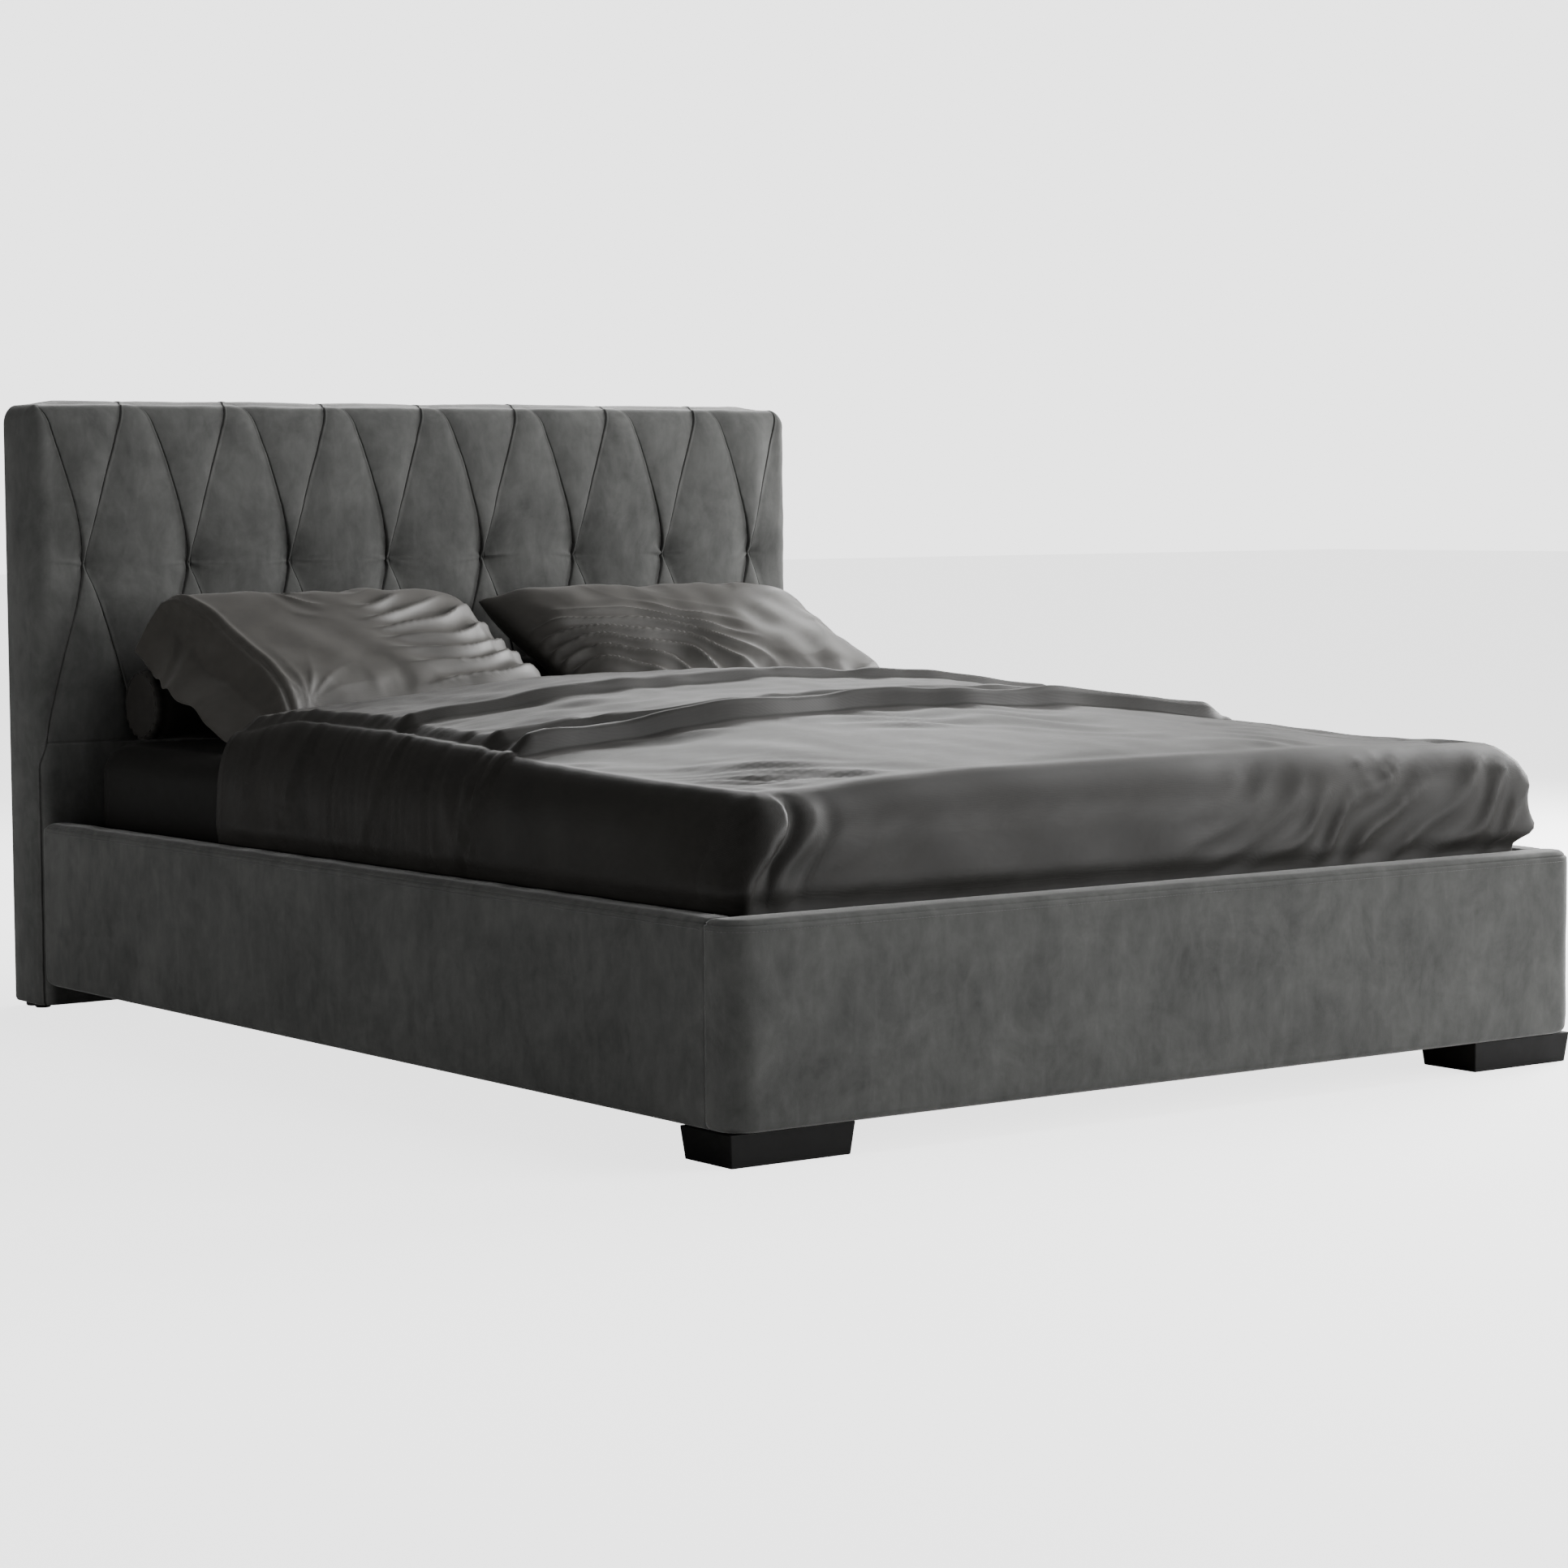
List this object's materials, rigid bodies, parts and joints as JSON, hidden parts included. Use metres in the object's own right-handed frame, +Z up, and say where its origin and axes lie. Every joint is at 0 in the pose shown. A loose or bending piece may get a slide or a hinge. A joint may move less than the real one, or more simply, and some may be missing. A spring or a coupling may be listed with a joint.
{
  "type": "upholstered headboard bed",
  "caption": "Upholstered bed with a deep-tufted headboard, padded side rails and foot panel, block feet, boarded base, mattress, coverlet, bolster and pillows.",
  "frame": {"origin": "on the floor, in the middle of the bed's footprint", "axes": "+Z up, +Y from the foot panel to the headboard, +X to the right as seen from the foot"},
  "size_m": [1.636, 2.225, 1.079],
  "materials": {
    "grey_velvet": "matte",
    "charcoal_bedding": "matte",
    "fitted_sheet": "matte",
    "black_lacquer": "satin",
    "pine": "matte",
    "plywood": "matte",
    "black_lining": "matte",
    "grey_twine": "matte",
    "black_steel": "satin",
    "zinc_steel": "satin",
    "black_plastic": "matte"
  },
  "bodies": {
    "bed_frame": {"base_slat_1": "pine", "base_slat_2": "pine", "base_slat_3": "pine", "base_slat_4": "pine", "base_slat_5": "pine", "base_slat_6": "pine", "base_slat_7": "pine", "base_slat_8": "pine", "base_slat_9": "pine", "beam_hanger_foot": "black_steel", "beam_hanger_head": "black_steel", "centre_beam": "pine", "centre_leg": "pine", "corner_bolt_foot_left": "zinc_steel", "corner_bolt_foot_right": "zinc_steel", "corner_bolt_head_left": "zinc_steel", "corner_bolt_head_right": "zinc_steel", "corner_bracket_foot_left": "black_steel", "corner_bracket_foot_right": "black_steel", "corner_bracket_head_left": "black_steel", "corner_bracket_head_right": "black_steel", "foot_block_left": "black_lacquer", "foot_block_right": "black_lacquer", "foot_panel_board": "pine", "foot_panel_cover": "grey_velvet", "headboard_back_lining": "black_lining", "headboard_bottom_rail": "pine", "headboard_front_panel": "plywood", "headboard_glide_left_back": "black_plastic", "headboard_glide_left_front": "black_plastic", "headboard_glide_right_back": "black_plastic", "headboard_glide_right_front": "black_plastic", "headboard_lower_pad": "grey_velvet", "headboard_middle_rail": "pine", "headboard_side_border_left": "grey_velvet", "headboard_side_border_right": "grey_velvet", "headboard_stile_left": "pine", "headboard_stile_right": "pine", "headboard_top_rail": "pine", "headboard_upper_pad": "grey_velvet", "side_rail_board_left": "pine", "side_rail_board_right": "pine", "side_rail_cover_left": "grey_velvet", "side_rail_cover_right": "grey_velvet", "side_rail_ledger_left": "pine", "side_rail_ledger_right": "pine", "tuft_tie_1": "grey_twine", "tuft_tie_2": "grey_twine", "tuft_tie_3": "grey_twine", "tuft_tie_4": "grey_twine", "tuft_tie_5": "grey_twine", "tuft_tie_6": "grey_twine", "tuft_tie_7": "grey_twine", "tuft_tie_8": "grey_twine"},
    "centre_leg_leveller": {"centre_leg_leveller": "black_plastic"},
    "mattress": {"mattress": "fitted_sheet"},
    "coverlet": {"coverlet": "charcoal_bedding"},
    "bolster": {"bolster": "charcoal_bedding"},
    "pillow_left": {"pillow_left": "charcoal_bedding"},
    "pillow_right": {"pillow_right": "charcoal_bedding"}
  },
  "joints": [
    {"name": "mattress_lift", "type": "slide", "parent": "bed_frame", "child": "mattress", "axis": [0, 0, 1], "range_m": [0, 0.3]},
    {"name": "coverlet_lift", "type": "slide", "parent": "mattress", "child": "coverlet", "axis": [0, 0, 1], "range_m": [0, 0.3]},
    {"name": "bolster_lift", "type": "slide", "parent": "mattress", "child": "bolster", "axis": [0, 0, 1], "range_m": [0, 0.3]},
    {"name": "pillow_left_lift", "type": "slide", "parent": "bolster", "child": "pillow_left", "axis": [0, 0, 1], "range_m": [0, 0.3]},
    {"name": "pillow_right_lift", "type": "slide", "parent": "bolster", "child": "pillow_right", "axis": [0, 0, 1], "range_m": [0, 0.3]},
    {"name": "leveller_screw", "type": "slide", "parent": "bed_frame", "child": "centre_leg_leveller", "axis": [0, 0, -1], "range_m": [0, 0.012]}
  ]
}
